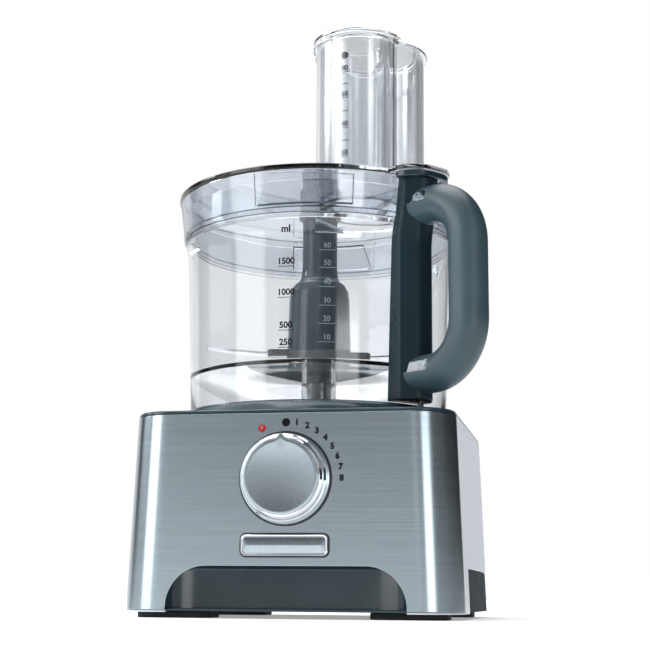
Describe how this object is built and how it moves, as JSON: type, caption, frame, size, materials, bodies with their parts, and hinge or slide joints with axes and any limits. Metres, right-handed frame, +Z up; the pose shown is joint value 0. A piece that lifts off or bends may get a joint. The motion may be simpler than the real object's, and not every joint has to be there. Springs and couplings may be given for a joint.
{
  "type": "food processor",
  "caption": "Food processor: belt-driven base with a speed dial, clear bowl with a loop handle, two-bladed knife, lid with a twin feed tube and two nested pushers.",
  "frame": {"origin": "middle of the underside of the whole object's box, on the surface the feet stand on", "axes": "+Z up, -Y out of the front face with the dial, +X to the right seen from the front"},
  "size_m": [0.2286, 0.2242, 0.4047],
  "materials": {
    "steel_panel": "stainless steel, fine horizontal brushing",
    "polished_steel": "polished stainless steel",
    "chrome": "bright chrome plate",
    "silver_plastic": "satin silver paint on a moulded housing",
    "dark_plastic": "dark grey-blue moulding with a soft sheen",
    "black_plastic": "black moulding",
    "clear_plastic": "clear moulding",
    "black_rubber": "black rubber",
    "cast_alloy": "as cast",
    "copper": "enamelled copper wire",
    "laminated_iron": "stacked steel sheet",
    "circuit_board": "green laminate"
  },
  "bodies": {
    "base": {"front_panel": "steel_panel", "badge_plate": "steel_panel", "side_housing": "silver_plastic", "underbody": "dark_plastic", "top_deck": "dark_plastic", "foot_front_left": "black_rubber", "foot_front_right": "black_rubber", "foot_rear_left": "black_rubber", "foot_rear_right": "black_rubber", "cord_gland": "black_rubber", "drive_belt": "black_rubber", "case_screw_front_right": "polished_steel", "case_screw_rear_right": "polished_steel", "case_screw_front_left": "polished_steel", "case_screw_rear_left": "polished_steel", "spindle_bearing_lower": "polished_steel", "spindle_bearing_upper": "polished_steel", "motor_bearing_lower": "polished_steel", "motor_bearing_upper": "polished_steel", "badge_frame": "chrome", "dial_bezel": "black_plastic", "speed_switch": "black_plastic", "filter_capacitor": "black_plastic", "interlock_switch": "black_plastic", "brush_holder_left": "black_plastic", "brush_holder_right": "black_plastic", "control_board": "circuit_board", "triac_heat_sink": "cast_alloy", "spindle_bracket": "cast_alloy", "motor_bracket_lower": "cast_alloy", "motor_bracket_upper": "cast_alloy", "field_coil_left": "copper", "field_coil_right": "copper", "stator_core": "laminated_iron"},
    "rotor": {"motor_shaft": "polished_steel", "motor_pulley": "cast_alloy", "cooling_fan": "black_plastic", "armature": "laminated_iron", "commutator": "copper"},
    "spindle": {"drive_spindle": "polished_steel", "spindle_pulley": "black_plastic", "shaft_coupling": "dark_plastic", "drive_shaft": "polished_steel"},
    "dial": {"speed_knob": "chrome", "knob_face": "steel_panel"},
    "plunger": {"switch_plunger": "black_plastic"},
    "bowl": {"bowl": "clear_plastic", "bowl_handle": "dark_plastic", "rod_spring": "polished_steel"},
    "rod": {"interlock_rod": "black_plastic"},
    "knife": {"knife_hub": "dark_plastic", "knife_blade_lower": "polished_steel", "knife_blade_upper": "polished_steel"},
    "lid": {"lid": "clear_plastic"},
    "pusher": {"feed_pusher": "clear_plastic"},
    "small_pusher": {"small_pusher": "clear_plastic"}
  },
  "joints": [
    {"name": "dial_turn", "type": "hinge", "parent": "base", "child": "dial", "pos_m": [-0.00892, -0.0974, 0.0831], "axis": [0, 1, 0], "range_deg": [-26, 90]},
    {"name": "rotor_spin", "type": "hinge", "parent": "base", "child": "rotor", "pos_m": [-0.00892, 0.0619, 0.06], "axis": [0, 0, 1], "continuous": true},
    {"name": "spindle_spin", "type": "hinge", "parent": "base", "child": "spindle", "pos_m": [-0.00892, 0.0019, 0.06], "axis": [0, 0, 1], "continuous": true},
    {"name": "bowl_lift", "type": "slide", "parent": "base", "child": "bowl", "axis": [0, 0, 1], "range_m": [0, 0.125]},
    {"name": "knife_spin", "type": "hinge", "parent": "bowl", "child": "knife", "pos_m": [-0.00892, 0.0019, 0.17], "axis": [0, 0, 1], "continuous": true},
    {"name": "lid_lift", "type": "slide", "parent": "bowl", "child": "lid", "axis": [0, 0, 1], "range_m": [0, 0.1]},
    {"name": "rod_slide", "type": "slide", "parent": "bowl", "child": "rod", "axis": [0, 0, 1], "range_m": [0, 0.003], "deforming": ["rod_spring"]},
    {"name": "plunger_slide", "type": "slide", "parent": "base", "child": "plunger", "axis": [0, 0, 1], "range_m": [0, 0.003]},
    {"name": "pusher_slide", "type": "slide", "parent": "lid", "child": "pusher", "axis": [0, 0, 1], "range_m": [0, 0.12]},
    {"name": "small_pusher_slide", "type": "slide", "parent": "pusher", "child": "small_pusher", "axis": [0, 0, 1], "range_m": [0, 0.12]}
  ],
  "couplings": [
    {"joint": "spindle_spin", "follows": "rotor_spin", "ratio": 0.21591},
    {"joint": "knife_spin", "follows": "rotor_spin", "ratio": 0.21591},
    {"joint": "rod_slide", "follows": "lid_lift", "ratio": 0.03},
    {"joint": "plunger_slide", "follows": "lid_lift", "ratio": 0.03}
  ]
}
